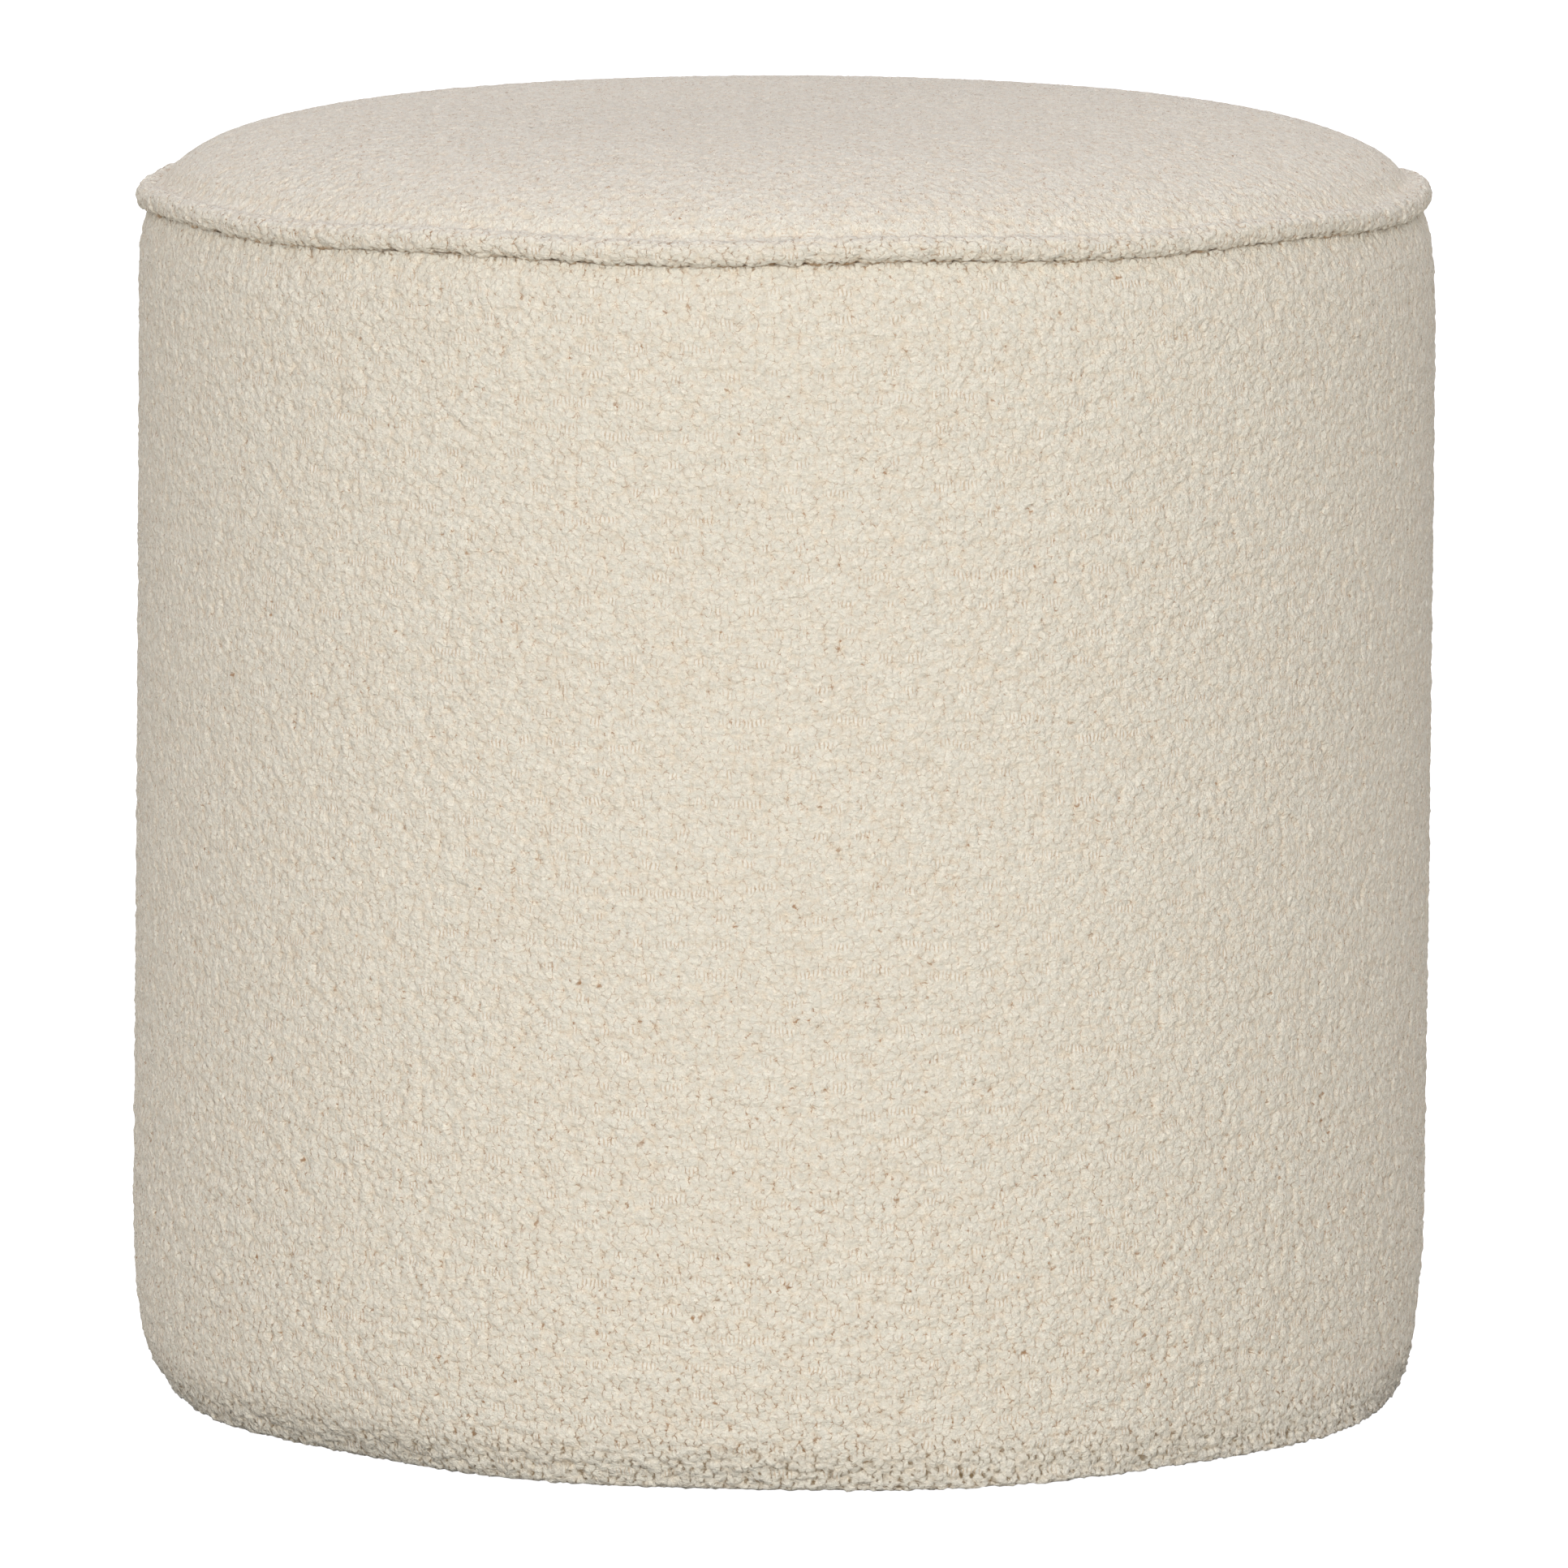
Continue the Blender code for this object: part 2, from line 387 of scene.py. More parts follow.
    # rows in which they show, a patch here and there
    rowNoise = addNode(
        tree, "ShaderNodeTexNoise",
        {"Vector": cloth, "Scale": 1 / boucle["rowWander"], "Detail": 2.0},
        noise_dimensions="2D",
    )
    rowPlace = addNode(
        tree, "ShaderNodeMath",
        {0: rowNoise, 1: 2 * boucle["rowDrift"], 2: across[1]}, operation="MULTIPLY_ADD",
    )
    staggered = addNode(
        tree, "ShaderNodeMath", {0: stagger, 1: boucle["rowStagger"], 2: rowPlace},
        operation="MULTIPLY_ADD",
    )
    rows = addNode(
        tree, "ShaderNodeMath", {0: staggered, 1: 1 / boucle["rowEvery"]}, operation="MULTIPLY"
    )
    rowNumber = addNode(tree, "ShaderNodeMath", {0: rows}, operation="FLOOR")
    inRow = addNode(tree, "ShaderNodeMath", {0: rows, 1: rowNumber}, operation="SUBTRACT")
    fromRow = addNode(tree, "ShaderNodeMath", {0: inRow, 1: 0.5}, operation="SUBTRACT")
    offRow = addNode(tree, "ShaderNodeMath", {0: fromRow}, operation="ABSOLUTE")
    half = boucle["rowTall"] / boucle["rowEvery"] / 2
    rowBand = addNode(tree, "ShaderNodeMapRange", {0: offRow, 1: half + 0.04, 2: half - 0.04})
    patchX = addNode(
        tree, "ShaderNodeMath", {0: across[0], 1: 1 / boucle["patchEvery"]}, operation="MULTIPLY"
    )
    patchY = addNode(
        tree, "ShaderNodeMath", {0: rowNumber, 1: boucle["patchShift"]}, operation="MULTIPLY"
    )
    patchAt = addNode(tree, "ShaderNodeCombineXYZ", {0: patchX, 1: patchY})
    patchNoise = addNode(
        tree, "ShaderNodeTexNoise", {"Vector": patchAt, "Scale": 1.0, "Detail": 1.0},
        noise_dimensions="2D",
    )
    patchStart, patchFull = boucle["patchOpens"]
    patchHere = addNode(
        tree, "ShaderNodeMapRange", {0: patchNoise, 1: patchStart, 2: patchFull}
    )
    inPatch = addNode(tree, "ShaderNodeMath", {0: rowBand, 1: patchHere}, operation="MULTIPLY")
    thin = addNode(tree, "ShaderNodeMapRange", {0: spread, 1: -1.0, 2: 0.0, 3: 0.2, 4: 0.6})
    uneven = addNode(
        tree, "ShaderNodeMath", {0: stagger, 1: thin, 2: thin}, operation="MULTIPLY_ADD"
    )
    patch = addNode(
        tree, "ShaderNodeMath", {0: inPatch, 1: uneven}, operation="MULTIPLY", use_clamp=True
    )

    # relief: tufts, lowered where the ground shows, on rows of grooves and soft swells
    groundHigh = addNode(tree, "ShaderNodeMapRange", {0: thread, 3: 0.5, 4: 0.75})
    mixed = addNode(
        tree, "ShaderNodeMix", {0: patch, 2: tuft, 3: groundHigh}, data_type="FLOAT"
    )
    cut = addNode(
        tree, "ShaderNodeMath", {0: crevice, 1: boucle["crackDepth"]}, operation="MULTIPLY"
    )
    cracked = addNode(tree, "ShaderNodeMath", {0: mixed, 1: cut}, operation="SUBTRACT")
    inGroove = addNode(tree, "ShaderNodeMapRange", {0: patchNoise, 1: 0.35, 2: 0.6})
    groove = addNode(tree, "ShaderNodeMapRange", {0: offRow, 1: 0.3, 2: 0.0})
    grooved = addNode(tree, "ShaderNodeMath", {0: inGroove, 1: groove}, operation="MULTIPLY")
    dip = addNode(
        tree, "ShaderNodeMath", {0: grooved, 1: -boucle["rowDip"]}, operation="MULTIPLY"
    )
    puffWide, puffTall = boucle["puff"]
    puffAt = addNode(
        tree, "ShaderNodeVectorMath",
        {0: cloth, 1: (1 / puffWide, 1 / puffTall, 0.0)}, operation="MULTIPLY",
    )
    puffs = addNode(
        tree, "ShaderNodeTexNoise", {"Vector": puffAt, "Scale": 1.0, "Detail": 1.0},
        noise_dimensions="2D",
    )
    puffed = addNode(
        tree, "ShaderNodeMath", {0: puffs, 1: boucle["puffLevel"]}, operation="SUBTRACT"
    )
    swells = addNode(
        tree, "ShaderNodeMath", {0: puffed, 1: 2 * boucle["puffDepth"], 2: dip},
        operation="MULTIPLY_ADD",
    )
    slack = addNode(tree, "ShaderNodeMapRange", {0: spread, 1: -1.0, 2: 0.0, 3: 0.35, 4: 1.0})
    height = addNode(
        tree, "ShaderNodeMath", {0: swells, 1: slack, 2: cracked}, operation="MULTIPLY_ADD"
    )
    return {
        "height": height,
        "tuft": mixed,
        "dome": dome,
        "crevice": crevice,
        "patch": patch,
        "thread": thread,
        "chance": chance,
        "spread": spread,
        "breaks": breaks,
        "grooved": grooved,
    }


def makeRelief():
    # moves each point of the cloth inwards by what its pile lacks there
    tree = bpy.data.node_groups.new("pileRelief", "GeometryNodeTree")
    tree.interface.new_socket("Geometry", in_out="INPUT", socket_type="NodeSocketGeometry")
    tree.interface.new_socket("Geometry", in_out="OUTPUT", socket_type="NodeSocketGeometry")
    start = addNode(tree, "NodeGroupInput")
    cloth = addNode(
        tree, "GeometryNodeInputNamedAttribute", {"Name": "clothMm"}, data_type="FLOAT_VECTOR"
    )
    lay = addNode(
        tree, "GeometryNodeInputNamedAttribute", {"Name": "lay"}, data_type="FLOAT_VECTOR"
    )
    field = tuftField(tree, cloth, lay)
    parts = addNode(tree, "ShaderNodeSeparateXYZ", {0: lay}).node.outputs
    lacking = addNode(tree, "ShaderNodeMath", {0: field["height"], 1: 1.0}, operation="SUBTRACT")
    pile = addNode(tree, "ShaderNodeMath", {0: lacking, 1: parts[0]}, operation="MULTIPLY")
    depth = addNode(
        tree, "ShaderNodeMath", {0: pile, 1: boucle["pileDepth"] / 1000}, operation="MULTIPLY"
    )
    normal = addNode(tree, "GeometryNodeInputNormal")
    offset = addNode(
        tree, "ShaderNodeVectorMath", {0: normal, "Scale": depth}, operation="SCALE"
    )
    moved = addNode(
        tree, "GeometryNodeSetPosition", {"Geometry": start, "Offset": offset}
    )
    addNode(tree, "NodeGroupOutput", {0: moved})
    return tree


def makeBoucle():
    material = bpy.data.materials.new("wovenBoucle")
    material.use_nodes = True
    tree = material.node_tree
    tree.nodes.clear()
    cloth = addNode(tree, "ShaderNodeAttribute", output=1, attribute_name="clothMm")
    lay = addNode(tree, "ShaderNodeAttribute", output=1, attribute_name="lay")
    field = tuftField(tree, cloth, lay)
    parts = addNode(tree, "ShaderNodeSeparateXYZ", {0: lay}).node.outputs

    # yarn: a painted highlight makes the top of each tuft lighter and cooler, and painted shade
    # the tone between them warmer, with soft clouds of random tone and fine fibres
    clouds = addNode(
        tree, "ShaderNodeTexNoise",
        {"Vector": cloth, "Scale": 1 / boucle["cloudEvery"], "Detail": 3.0},
        noise_dimensions="2D",
    )
    combed = addNode(
        tree, "ShaderNodeVectorMath", {0: cloth, 1: (boucle["combed"], 1.0, 1.0)},
        operation="MULTIPLY",
    )
    fibres = addNode(
        tree, "ShaderNodeTexNoise",
        {"Vector": combed, "Scale": 1 / boucle["fibre"], "Detail": 3.0, "Distortion": 1.6},
        noise_dimensions="2D",
    )
    onTop = addNode(tree, "ShaderNodeMapRange", {0: field["dome"], 3: 0.1, 4: 0.75})
    cloudy = addNode(tree, "ShaderNodeMapRange", {0: clouds, 1: 0.35, 2: 0.65, 3: 0.0, 4: 0.2})
    highlightAndCloudShare = addNode(tree, "ShaderNodeMath", {0: onTop, 1: cloudy}, operation="ADD")
    pile = addNode(
        tree, "ShaderNodeMix",
        {0: highlightAndCloudShare, 6: linear(boucle["pileShadedDeep"]), 7: linear(boucle["pileLitTop"])},
        output=2, data_type="RGBA",
    )
    each = addNode(tree, "ShaderNodeMapRange", {0: field["chance"][1], 3: 0.985, 4: 1.015})
    offLine = addNode(tree, "ShaderNodeMath", {0: fibres, 1: 0.5}, operation="SUBTRACT")
    besideLine = addNode(tree, "ShaderNodeMath", {0: offLine}, operation="ABSOLUTE")
    fibrous = addNode(
        tree, "ShaderNodeMapRange", {0: besideLine, 1: 0.0, 2: 0.1, 3: 0.92, 4: 1.05}
    )
    # painted shade in the row grooves
    grooveShade = addNode(tree, "ShaderNodeMapRange", {0: field["grooved"], 3: 1.0, 4: 0.965})
    rowed = addNode(tree, "ShaderNodeMath", {0: each, 1: grooveShade}, operation="MULTIPLY")
    fuzz = addNode(
        tree, "ShaderNodeTexNoise",
        {"Vector": combed, "Scale": 1 / boucle["fuzz"], "Detail": 3.0, "Roughness": 0.6},
        noise_dimensions="2D",
    )
    mottled = addNode(tree, "ShaderNodeMapRange", {0: fuzz, 1: 0.3, 2: 0.7, 3: 0.95, 4: 1.04})
    uneven = addNode(tree, "ShaderNodeMath", {0: rowed, 1: mottled}, operation="MULTIPLY")
    tone = addNode(tree, "ShaderNodeMath", {0: uneven, 1: fibrous}, operation="MULTIPLY")
    toned = addNode(tree, "ShaderNodeVectorMath", {0: pile, "Scale": tone}, operation="SCALE")

    threads = addNode(
        tree, "ShaderNodeMix",
        {0: field["thread"], 6: linear(boucle["threadDark"]), 7: linear(boucle["threadLight"])},
        output=2, data_type="RGBA",
    )
    bare = addNode(tree, "ShaderNodeMath", {0: field["patch"], 1: 0.7}, operation="MULTIPLY")
    withGround = addNode(
        tree, "ShaderNodeMix", {0: bare, 6: toned, 7: threads}, output=2, data_type="RGBA"
    )

    # between the tufts: painted tan shade in the crevices, and on the dense top mostly fine
    # flecks of painted shade
    deep = addNode(
        tree, "ShaderNodeMapRange", {0: field["spread"], 1: -1.0, 2: 0.2, 3: 0.35, 4: 1.0}
    )
    fleckEdge, fleckMiddle = boucle["fleckWide"]
    fleckLine = addNode(
        tree, "ShaderNodeMapRange", {0: besideLine, 1: fleckEdge, 2: fleckMiddle}
    )
    fleckDark = addNode(
        tree, "ShaderNodeMapRange", {0: field["spread"], 1: -1.0, 2: 0.0, 3: 0.95, 4: 0.3}
    )
    fleckStart, fleckFull = boucle["fleckOpens"]
    fleckHere = addNode(
        tree, "ShaderNodeMapRange", {0: fuzz, 1: fleckStart, 2: fleckFull, 4: fleckDark}
    )
    flecks = addNode(tree, "ShaderNodeMath", {0: fleckLine, 1: fleckHere}, operation="MULTIPLY")
    tanShadeShare = addNode(
        tree, "ShaderNodeMath", {0: field["crevice"], 1: deep}, operation="MULTIPLY"
    )
    creviceShadeShare = addNode(
        tree, "ShaderNodeMath", {0: tanShadeShare, 1: flecks}, operation="MAXIMUM"
    )
    shadow = addNode(
        tree, "ShaderNodeMix",
        {
            0: field["spread"],
            6: linear(boucle["crevice"]),
            7: linear(boucle["creviceLooseShade"]),
        },
        output=2, data_type="RGBA",
    )
    creviced = addNode(
        tree, "ShaderNodeMix", {0: creviceShadeShare, 6: withGround, 7: shadow},
        output=2, data_type="RGBA",
    )
    # the seam's colour: painted shade in the creases along the welt and in the valley by the top,
    # and the closing seam's own line at the back, broken up by the tufts
    brokenSeamLine = addNode(
        tree, "ShaderNodeMapRange", {0: field["breaks"], 1: 0.4, 2: 0.6, 3: 0.25, 4: 0.85}
    )
    seamShare = addNode(tree, "ShaderNodeMath", {0: parts[2], 1: brokenSeamLine}, operation="MULTIPLY")
    colour = addNode(
        tree, "ShaderNodeMix", {0: seamShare, 6: creviced, 7: linear(boucle["seam"])},
        output=2, data_type="RGBA",
    )

    fine = addNode(
        tree, "ShaderNodeMath", {0: fibrous, 1: 0.4, 2: fuzz}, operation="MULTIPLY_ADD"
    )
    tufted = addNode(
        tree, "ShaderNodeMath", {0: field["tuft"], 1: 0.3, 2: fine}, operation="MULTIPLY_ADD"
    )
    bump = addNode(
        tree, "ShaderNodeBump", {"Height": tufted, "Strength": 1.0, "Distance": 0.0012}
    )
    surface = addNode(
        tree, "ShaderNodeBsdfPrincipled",
        {
            "Base Color": colour,
            "Normal": bump,
            "Roughness": 0.95,
            "Specular IOR Level": 0.15,
            "Sheen Weight": 0.25,
            "Sheen Roughness": 0.5,
            "Sheen Tint": linear(boucle["sheen"]),
        },
    )
    addNode(tree, "ShaderNodeOutputMaterial", {"Surface": surface})
    return material


# Base cloth: a plain-woven lining cloth, cotton, matt
baseCloth = {
    "yarn": "#CFC4B2",
    "gap": "#A89B86",
    "threadEvery": 1.1,  # mm, coarser than real so that it shows
    "bandScale": 0.314,  # the wave texture's scale for one band a millimetre
}


def makeBaseCloth():
    material = bpy.data.materials.new("plainWovenCotton")
    material.use_nodes = True
    tree = material.node_tree
    tree.nodes.clear()
    cloth = addNode(tree, "ShaderNodeAttribute", output=1, attribute_name="clothMm")
    scale = baseCloth["bandScale"] / baseCloth["threadEvery"]
    waves = []
    for direction in ("X", "Y"):
        waves.append(addNode(
            tree, "ShaderNodeTexWave", {"Vector": cloth, "Scale": scale, "Distortion": 0.6},
            output=1, bands_direction=direction,
        ))
    weave = addNode(tree, "ShaderNodeMath", {0: waves[0], 1: waves[1]}, operation="MULTIPLY")
    colour = addNode(
        tree, "ShaderNodeMix",
        {0: weave, 6: linear(baseCloth["gap"]), 7: linear(baseCloth["yarn"])},
        output=2, data_type="RGBA",
    )
    bump = addNode(tree, "ShaderNodeBump", {"Height": weave, "Strength": 0.4, "Distance": 0.0003})
    surface = addNode(
        tree, "ShaderNodeBsdfPrincipled",
        {"Base Color": colour, "Normal": bump, "Roughness": 0.9, "Specular IOR Level": 0.2},
    )
    addNode(tree, "ShaderNodeOutputMaterial", {"Surface": surface})
    return material


# Meshes from grids of points
def gridMesh(name, points, cloth, lay, normals=None):
    rows, columns = points.shape[:2]
    corner = np.arange(rows * columns).reshape(rows, columns)
    faces = np.stack(
        [corner[:-1, :-1], corner[1:, :-1], corner[1:, 1:], corner[:-1, 1:]], -1
    ).reshape(-1, 4)
    mesh = bpy.data.meshes.new(name)
    mesh.from_pydata(points.reshape(-1, 3), [], faces)
    for kind, values in (("clothMm", cloth), ("lay", lay)):
        attribute = mesh.attributes.new(kind, "FLOAT_VECTOR", "POINT")
        attribute.data.foreach_set("vector", values.reshape(-1).astype(np.float32))
    down, over = np.meshgrid(
        np.linspace(1.0, 0.0, rows), np.linspace(0.0, 1.0, columns), indexing="ij"
    )
    places = np.stack([over, down], -1).reshape(-1, 2)
    chart = mesh.uv_layers.new(name="OFBake")
    chart.data.foreach_set("uv", places[faces.reshape(-1)].reshape(-1).astype(np.float32))
    mesh.shade_smooth()
    if normals is not None:
        mesh.normals_split_custom_set_from_vertices(normals.reshape(-1, 3))
    return mesh


def withPile(points, cloth, lay, relief):
    # the grid after the relief nodes, and its smooth normals
    rough = bpy.data.objects.new("roughCloth", gridMesh("roughCloth", points, cloth, lay))
    bpy.context.scene.collection.objects.link(rough)
    rough.modifiers.new("relief", "NODES").node_group = relief
    graph = bpy.context.evaluated_depsgraph_get()
    done = bpy.data.meshes.new_from_object(rough.evaluated_get(graph), depsgraph=graph)
    places = np.zeros(len(done.vertices) * 3, np.float32)
    done.vertices.foreach_get("co", places)
    normals = np.zeros(len(done.vertices) * 3, np.float32)
    done.vertex_normals.foreach_get("vector", normals)
    bare = rough.data
    bpy.data.objects.remove(rough)
    bpy.data.meshes.remove(bare)
    bpy.data.meshes.remove(done)
    return places.reshape(points.shape), normals.reshape(points.shape)


def addPiece(name, mesh, material, node):
    mesh.materials.append(material)
    piece = bpy.data.objects.new(name, mesh)
    bpy.context.scene.collection.objects.link(piece)
    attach(piece, "root")
    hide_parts(node)
    return piece


def around(count):
    # angles from the front, starting and ending at the back
    return np.linspace(-math.pi, math.pi, count + 1)


def turned(radius, height, fromFront):
    angle = fromFront - math.pi / 2
    return settled(radius * np.cos(angle), radius * np.sin(angle), height)


# Side panel: in under the welt, down to the foot, and in under it to the base
sidePile = {
    # shares of the pile's depth that show
    "fullerDepth": 0.35,  # this much more than elsewhere on the side, towards the foot
    "seamDepth": 0.7,
    "footDepth": 0.8,
    "floorPress": 0.35,  # this much less where the pouf stands on it
    # how far the tufts stand apart, 0 as on the side and 1 as at the foot; further apart, their
    # crevices take wider, darker painted shade
    "fullerApart": 0.2,
    "seamApart": 1.1,
    "floorApart": 0.8,  # on top of the foot's, which darkens the crevices near the floor with painted shade
    # heights above the floor
    "fullerHeight": (0.02, 0.2),
    "splayHeight": 0.004,  # fully splayed up to here
    "floorApartHeight": (0.001, 0.010),
    "pressedHeight": 0.004,
    # lengths along the cloth, from the seam down
    # how far down from the seam its painted shade reaches
    "shownFrom": (-0.0005, 0.001),
    "seamColour": 0.0009,
    "seamApartTo": (0.0005, 0.003),
    "raggedTo": (0.001, 0.003),
    "underFoot": 0.005,  # the pile lies flat this far in under the foot
}
closingSeam = 0.008  # radians on each side of the closing seam at the back


def makeSide(relief, material):
    degrees = meetingDegrees(lambda radius, height: radius < sideRadius(height), 0.5)
    corner = roundWelt(cradle, degrees)
    count = lineSteps["sideSeat"]
    inside = 180.0 + weltShape["hollowEnd"]
    lip = np.linspace(inside, degrees + weltShape["hugSide"], count)
    seatRadius, seatHeight = roundWelt(np.linspace(cradle, weltShape["lip"], count), lip)
    start = corner[1] - weltShape["pileFill"]
    heights = start * (1.0 - np.sin(np.linspace(0.0, math.pi / 2, lineSteps["side"])))
    bendRadius, bendHeight = bent(
        (seatRadius[-1], seatHeight[-1]), corner, (sideRadius(start), start)
    )
    innerEdge = baseShape["radius"] + baseShape["gap"]
    ring = np.linspace(sideRadius(0.0), innerEdge, lineSteps["ring"])
    recess = baseShape["lift"] + baseShape["thick"]
    radius = np.concatenate(
        [seatRadius, bendRadius[1:], sideRadius(heights[1:]), ring[1:], [ring[-1]]]
    )
    height = np.concatenate([seatHeight, bendHeight[1:], heights[1:], 0.0 * ring[1:], [recess]])
    seatEnd = lengthAlong(seatRadius, seatHeight)[-1]
    footEnd = lengthAlong(radius, height)[len(seatRadius) + len(bendRadius) + len(heights) - 3]
    low = eased(height, sideShape["footHeight"] / 2, sideShape["footHeight"])
    step = sideShape["footRowSize"] + (sideShape["rowSize"] - sideShape["footRowSize"]) * low
    radius, height, along = resampled(radius, height, step)

    fromFront = around(sideShape["around"])
    points = turned(radius[:, None], height[:, None], fromFront[None, :])
    cloth = np.zeros(points.shape)
    cloth[..., 0] = 1000 * sideShape["radius"] * fromFront[None, :]
    cloth[..., 1] = -1000 * along[:, None]
    down = along - seatEnd
    shown = eased(down, *sidePile["shownFrom"])
    standing = 1.0 - eased(along, footEnd, footEnd + sidePile["underFoot"])
    # painted shade in the crease under the welt
    crease = 1.0 - eased(down, 0.0, sidePile["seamColour"])
    atSeam = sidePile["seamApart"] * (1.0 - eased(down, *sidePile["seamApartTo"]))
    closing = 1.0 - eased(math.pi - np.abs(fromFront), 0.0, closingSeam)
    splayed = 1.0 - eased(height, sidePile["splayHeight"], sideShape["footHeight"])
    parted = sidePile["floorApart"] * (1.0 - eased(height, *sidePile["floorApartHeight"]))
    fuller = 1.0 - eased(height, *sidePile["fullerHeight"])
    pressed = boucle["pressed"] * (1.0 + sidePile["fullerDepth"] * fuller)
    onFloor = sidePile["floorPress"] * (1.0 - eased(height, 0.0, sidePile["pressedHeight"]))
    ragged = 1.0 - eased(down, *sidePile["raggedTo"])
    deep = np.maximum(
        (sidePile["footDepth"] - onFloor) * splayed, sidePile["seamDepth"] * ragged
    )
    apart = splayed + parted + sidePile["fullerApart"] * fuller
    lay = np.zeros(points.shape)
    lay[..., 0] = (shown * standing * np.maximum(pressed * (1.0 - splayed), deep))[:, None]
    lay[..., 1] = np.maximum(apart, atSeam)[:, None]
    lay[..., 2] = np.maximum(crease[:, None], closing[None, :])
    points, normals = withPile(points, cloth, lay, relief)

    width = sideShape["around"] // sideShape["pieces"]
    for number in range(sideShape["pieces"]):
        part = np.s_[:, number * width : (number + 1) * width + 1]
        mesh = gridMesh(
            f"side_cover_{number + 1}", points[part], cloth[part], lay[part], normals[part]
        )
        piece = addPiece(mesh.name, mesh, material, "side_panel")


# Top panel: a disc of cloth from the middle out, over the shoulder, and in under the welt
topPile = {
    "pressed": 0.38,  # share of the pile's depth that shows
    "tucked": 0.001,  # it lies flat this far in under the welt
    "denseTo": (0.012, 0.002),  # its close tufts open out over this stretch by the welt
    "valley": 0.7,  # how strongly painted shade shows in the valley by the welt, at the left
    "valleyWide": (0.0026, 0.0012),
    "valleySide": (0.75, 0.96),  # shares of the way to the left end, from none to full
}


def makeTop(relief, material):
    degrees = meetingDegrees(
        lambda radius, height: height - weltShape["height"] < crownHeight(radius), -0.5
    )
    corner = roundWelt(cradle, degrees)
    count = lineSteps["topSeat"]
    inside = 180.0 - weltShape["hollowEnd"]
    lip = np.linspace(degrees - weltShape["hugTop"], inside, count)
    seatRadius, seatHeight = roundWelt(np.linspace(weltShape["lip"], cradle, count), lip)
    crownRadius = corner[0] * np.sin(np.linspace(0.0, math.pi / 2, lineSteps["crown"]))
    crownLine = weltShape["height"] + crownHeight(crownRadius)
    toCorner = lengthAlong(crownRadius, crownLine)
    kept = toCorner < toCorner[-1] - weltShape["pileFillTop"]
    crownRadius, crownLine = crownRadius[kept], crownLine[kept]
    bendRadius, bendHeight = bent(
        (crownRadius[-1], crownLine[-1]), corner, (seatRadius[0], seatHeight[0])
    )
    radius = np.concatenate([crownRadius, bendRadius[1:], seatRadius[1:]])
    height = np.concatenate([crownLine, bendHeight[1:], seatHeight[1:]])
    along = lengthAlong(radius, height)
    seatStart = along[-1] - lengthAlong(seatRadius, seatHeight)[-1]

    angle, share = discGrid(topShape["across"], facesUp=True)
    reach = share * along[-1]
    pointRadius = np.interp(reach, along, radius)
    pointHeight = np.interp(reach, along, height)
    points = settled(
        pointRadius * np.cos(angle), pointRadius * np.sin(angle), pointHeight
    )
    cloth = np.zeros(points.shape)
    cloth[..., 0] = 1000 * reach * np.sin(angle)
    cloth[..., 1] = 1000 * reach * np.cos(angle)
    lay = np.zeros(points.shape)
    denseEnd, looseStart = [seatStart - length for length in topPile["denseTo"]]
    valleyStart, valleyEnd = [seatStart - length for length in topPile["valleyWide"]]
    shown = 1.0 - eased(reach, seatStart, seatStart + topPile["tucked"])
    opened = eased(-np.cos(angle), *topPile["valleySide"])
    lay[..., 0] = topPile["pressed"] * shown
    lay[..., 1] = -1.0 + eased(reach, denseEnd, looseStart)
    # painted shade in the valley between the top and the welt, towards the left end
    lay[..., 2] = topPile["valley"] * opened * eased(reach, valleyStart, valleyEnd)
    points, normals = withPile(points, cloth, lay, relief)
    mesh = gridMesh("top_cover", points, cloth, lay, normals)
    piece = addPiece("top_cover", mesh, material, "top_panel")


# Welt: a cord wrapped in the same boucle, gathered a little all the way round
weltPile = {
    "pressed": 0.4,  # share of the pile's depth that shows
    "apart": 0.2,
    "loosePressed": 0.2,  # more, low on the cord
    # low on the cord the tufts stand further apart, which widens and darkens their painted
    # crevice shade
    "looseApart": 1.0,
    "looseTurn": (-58.0, -30.0),  # degrees round the cord from its outer side
    # degrees round the cord over which the painted shade in the seam's crease fades out
    "seamTurn": (-66.0, -56.0),
    "hidden": (-0.9, -0.5),  # cosine of the turn, inside the seam
}


def makeWelt(relief, material):
    fromFront = around(weltShape["around"])
    turn = math.pi - np.linspace(0.0, math.tau, weltShape["sides"] + 1)
    lumps = np.zeros(fromFront.shape)
    for times, drift, slow in weltShape["lumpWaves"]:
        lumps = lumps + np.sin(times * fromFront + drift * np.sin(slow * fromFront))
    outer = eased(np.cos(turn), *weltPile["hidden"])
    swell = (weltShape["lumps"] * lumps / 2 + weltShape["swell"])[None, :] * outer[:, None]
    thick = weltShape["thick"] + swell
    radius = weltShape["radius"] + thick * np.cos(turn)[:, None]
    height = weltShape["height"] + thick * np.sin(turn)[:, None]
    points = turned(radius, height, fromFront[None, :])
    cloth = np.zeros(points.shape)
    cloth[..., 0] = (1000 * weltShape["radius"] * fromFront + weltShape["clothStart"])[None, :]
    cloth[..., 1] = (1000 * weltShape["thick"] * turn)[:, None]
    lay = np.zeros(points.shape)
    # painted shade low on the cord, in the crease of the seam
    under = 1.0 - eased(np.degrees(turn), *weltPile["seamTurn"])
    joined = 1.0 - eased(math.pi - np.abs(fromFront), 0.0, closingSeam)
    loose = 1.0 - eased(np.degrees(turn), *weltPile["looseTurn"])
    pressed = weltPile["pressed"] + weltPile["loosePressed"] * loose
    lay[..., 0] = (pressed * outer)[:, None]
    lay[..., 1] = (weltPile["apart"] + weltPile["looseApart"] * loose)[:, None]
    lay[..., 2] = np.maximum(under[:, None], joined[None, :])
    points, normals = withPile(points, cloth, lay, relief)
    mesh = gridMesh("welt_cover", points, cloth, lay, normals)
    piece = addPiece("welt_cover", mesh, material, "welt")


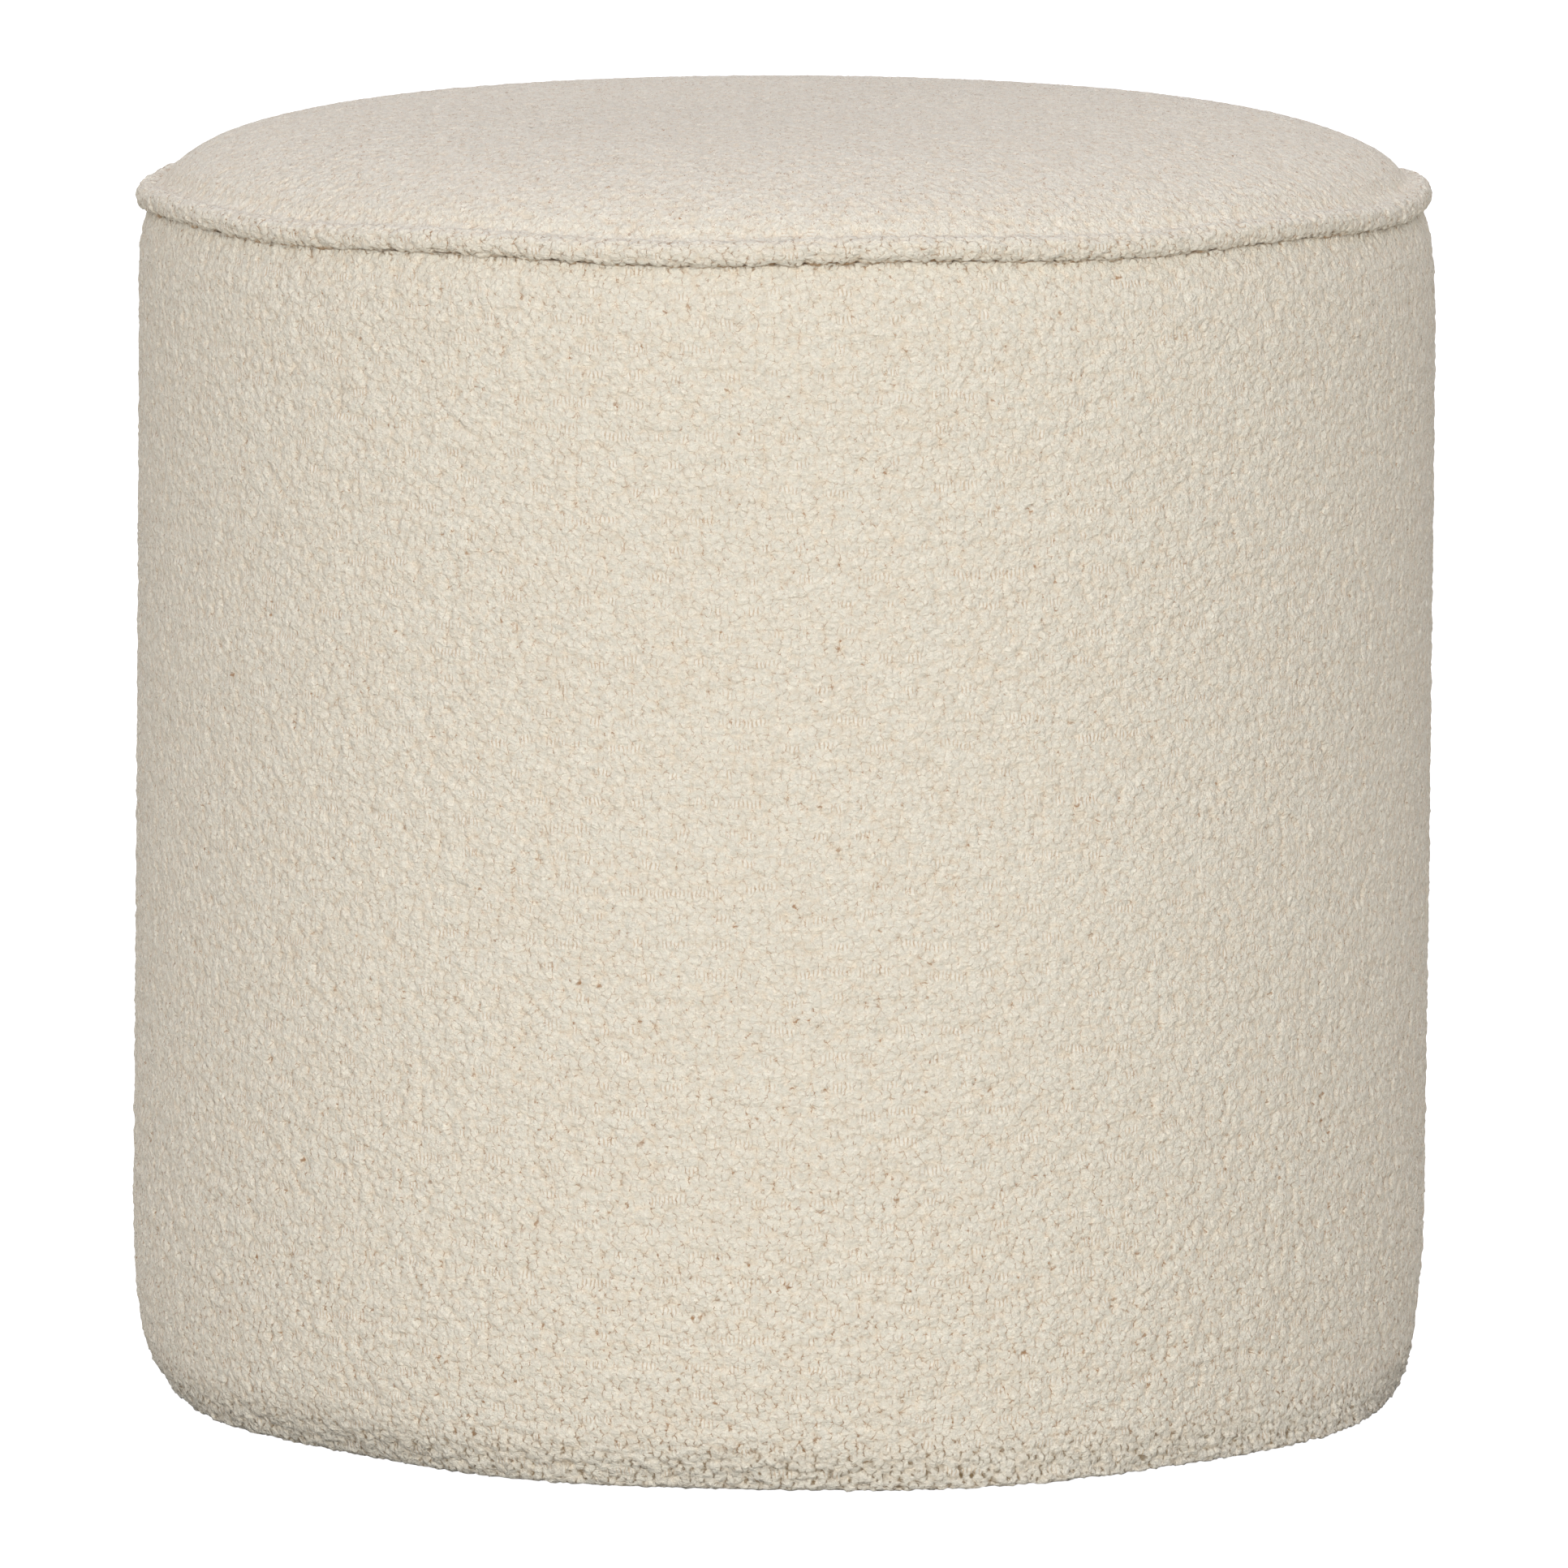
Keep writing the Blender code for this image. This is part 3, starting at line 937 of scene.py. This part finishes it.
# Base panel: plain cloth stretched over the recess in the foot
def makeBase(material):
    angle, share = discGrid(baseShape["across"], facesUp=False)
    reach = share * baseShape["radius"]
    drawnUp = 1.0 - eased(reach, 0.0, baseShape["radius"])
    height = baseShape["lift"] + baseShape["rise"] * drawnUp
    points = settled(reach * np.cos(angle), reach * np.sin(angle), height)
    cloth = np.zeros(points.shape)
    cloth[..., 0] = 1000 * reach * np.cos(angle)
    cloth[..., 1] = 1000 * reach * np.sin(angle)
    mesh = gridMesh("base_cover", points, cloth, np.zeros(points.shape))
    piece = addPiece("base_cover", mesh, material, "base_panel")


# Studio: a white floor, a pale sky that is brighter overhead and behind, and one wide, low
# front light
studio = {
    "floor": "#A2A2A0",
    "floorGlow": 1.0,  # the floor shows as white as the photo's ground
    "shadedFloor": "#3F3F3F",
    "below": 0.28,  # light that the floor sends back up
    "skyLow": "#FFF9F0",
    "skyHigh": "#EAE9F5",
    "lowStrength": 0.16,
    "highStrength": 0.80,
    "behind": 2.6,  # times brighter behind the pouf, which lights its edges
    "key": "#FFFDF9",
    "keyStrength": 3.0,
    "keyWide": math.radians(30),
    "keyDown": math.radians(4),  # from a little above level
    "keyTurn": math.radians(-2),  # from the left
    "shadeReach": 0.012,  # how far the floor is shaded round the foot
    "shadeDrop": 0.0005,  # just below the floor, so that it isn't seen
}


def makeStudio():
    scene = bpy.context.scene
    scene.view_settings.view_transform = "Standard"
    bpy.ops.mesh.primitive_plane_add(size=60.0)
    floor = bpy.context.object
    floor.name = "floor"
    floor.visible_diffuse = False  # the pouf's foot stays as dark as in the photo
    paint = bpy.data.materials.new("whiteStudioFloor")
    paint.use_nodes = True
    shader = paint.node_tree.nodes["Principled BSDF"]
    shader.inputs["Base Color"].default_value = linear(studio["floor"])
    shader.inputs["Roughness"].default_value = 1.0
    shader.inputs["Specular IOR Level"].default_value = 0.0
    shader.inputs["Emission Color"].default_value = (1.0, 1.0, 1.0, 1.0)
    shader.inputs["Emission Strength"].default_value = studio["floorGlow"]
    floor.data.materials.append(paint)

    # a dark disc under the foot, from which the lowest tufts get no light
    bpy.ops.mesh.primitive_circle_add(
        vertices=96, radius=sideShape["radius"] + studio["shadeReach"], fill_type="NGON",
        location=(settling["leanFoot"], 0.0, -studio["shadeDrop"]),
    )
    shade = bpy.context.object
    shade.name = "floorShade"
    dark = bpy.data.materials.new("shadedFloor")
    dark.use_nodes = True
    shader = dark.node_tree.nodes["Principled BSDF"]
    shader.inputs["Base Color"].default_value = linear(studio["shadedFloor"])
    shader.inputs["Specular IOR Level"].default_value = 0.0
    shade.data.materials.append(dark)

    world = bpy.data.worlds.new("studioSky")
    world.use_nodes = True
    tree = world.node_tree
    tree.nodes.clear()
    direction = addNode(tree, "ShaderNodeTexCoord")
    ways = addNode(tree, "ShaderNodeSeparateXYZ", {0: direction}).node.outputs
    up = ways[2]
    colour = addNode(
        tree, "ShaderNodeMix",
        {0: up, 6: linear(studio["skyLow"]), 7: linear(studio["skyHigh"])},
        output=2, data_type="RGBA",
    )
    strength = addNode(
        tree, "ShaderNodeMapRange",
        {0: up, 3: studio["lowStrength"], 4: studio["highStrength"]},
    )
    above = addNode(tree, "ShaderNodeMath", {0: up, 1: 0.0}, operation="GREATER_THAN")
    lit = addNode(
        tree, "ShaderNodeMix", {0: above, 2: studio["below"], 3: strength}, data_type="FLOAT"
    )
    behind = addNode(
        tree, "ShaderNodeMapRange", {0: ways[1], 1: 0.0, 2: 0.8, 3: 1.0, 4: studio["behind"]}
    )
    shone = addNode(tree, "ShaderNodeMath", {0: lit, 1: behind}, operation="MULTIPLY")
    light = addNode(tree, "ShaderNodeBackground", {"Color": colour, "Strength": shone})
    addNode(tree, "ShaderNodeOutputWorld", {"Surface": light})
    scene.world = world

    lamp = bpy.data.lights.new("frontLight", "SUN")
    lamp.color = linear(studio["key"])[:3]
    lamp.energy = studio["keyStrength"]
    lamp.angle = studio["keyWide"]
    key = bpy.data.objects.new("frontLight", lamp)
    scene.collection.objects.link(key)
    key.rotation_euler = (math.pi / 2 - studio["keyDown"], 0.0, studio["keyTurn"])


makeCamera()
relief = makeRelief()
wovenBoucle = makeBoucle()
makeSide(relief, wovenBoucle)
print("side cover made")
makeTop(relief, wovenBoucle)
print("top cover made")
makeWelt(relief, wovenBoucle)
print("welt made")
makeBase(makeBaseCloth())
print("base cloth made")
makeStudio()
print("studio made")
